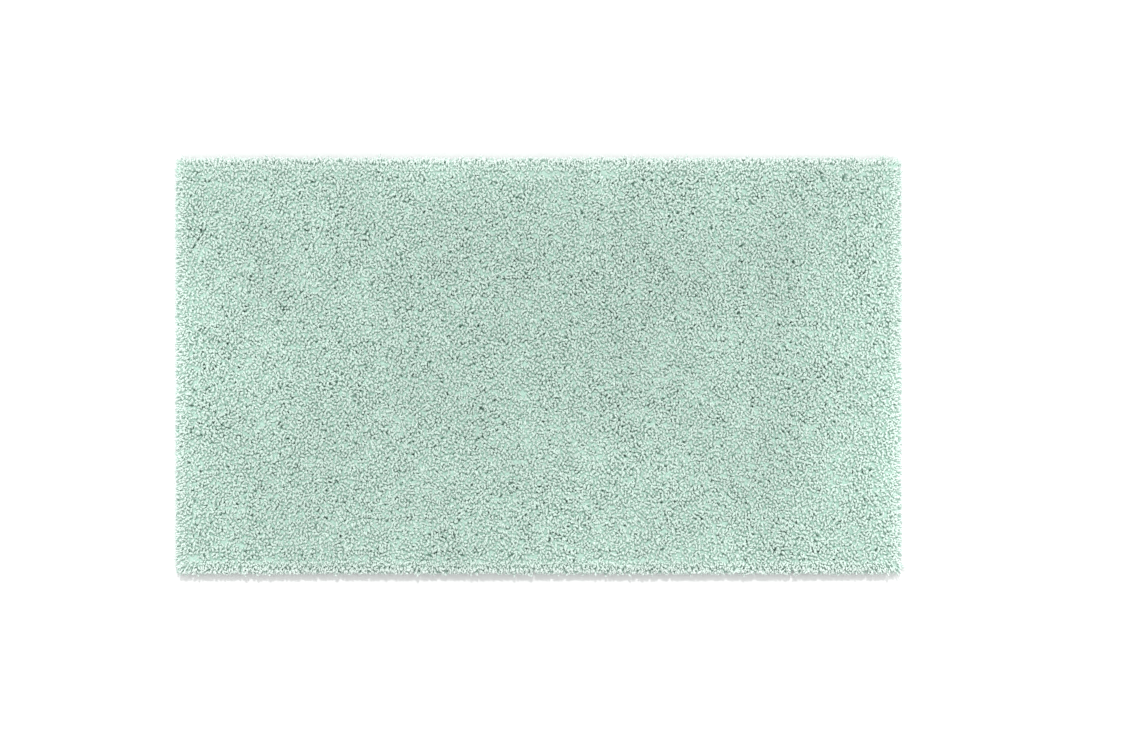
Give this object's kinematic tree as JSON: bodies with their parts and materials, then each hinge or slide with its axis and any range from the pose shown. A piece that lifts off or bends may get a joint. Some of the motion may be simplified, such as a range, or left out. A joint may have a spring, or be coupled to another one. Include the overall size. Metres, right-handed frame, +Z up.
{
  "type": "bath mat",
  "caption": "Rectangular cut-pile bath mat in pale sage green: yarn tufted through a woven backing, latex anti-slip underside, taped and stitched hem.",
  "frame": {"origin": "middle of the mat's underside, on the floor plane", "axes": "+X along the mat's length, +Y across its width towards the edge with the care label, +Z up through the pile"},
  "size_m": [0.864, 0.495, 0.02],
  "materials": {
    "pile": "matte",
    "backing": "matte",
    "latex": "satin",
    "tape": "matte",
    "thread": "satin",
    "label": "satin"
  },
  "bodies": {
    "root": {"primary_backing": "backing", "latex_backing": "latex", "care_label": "label", "hem_tape_front": "tape", "hem_tape_right": "tape", "hem_tape_back": "tape", "hem_tape_left": "tape", "outer_needle_thread_front": "thread", "outer_bobbin_thread_front": "thread", "inner_needle_thread_front": "thread", "inner_bobbin_thread_front": "thread", "outer_needle_thread_right": "thread", "outer_bobbin_thread_right": "thread", "inner_needle_thread_right": "thread", "inner_bobbin_thread_right": "thread", "outer_needle_thread_back": "thread", "outer_bobbin_thread_back": "thread", "inner_needle_thread_back": "thread", "inner_bobbin_thread_back": "thread", "outer_needle_thread_left": "thread", "outer_bobbin_thread_left": "thread", "inner_needle_thread_left": "thread", "inner_bobbin_thread_left": "thread", "pile_rows_01": "pile", "pile_rows_02": "pile", "pile_rows_03": "pile", "pile_rows_04": "pile", "pile_rows_05": "pile", "pile_rows_06": "pile", "pile_rows_07": "pile", "pile_rows_08": "pile", "pile_rows_09": "pile", "pile_rows_10": "pile", "pile_rows_11": "pile", "pile_rows_12": "pile", "pile_rows_13": "pile", "pile_rows_14": "pile", "pile_rows_15": "pile", "pile_rows_16": "pile", "pile_rows_17": "pile", "pile_rows_18": "pile", "pile_rows_19": "pile", "pile_rows_20": "pile", "pile_rows_21": "pile", "pile_rows_22": "pile", "pile_rows_23": "pile", "pile_rows_24": "pile", "pile_rows_25": "pile"}
  },
  "joints": []
}
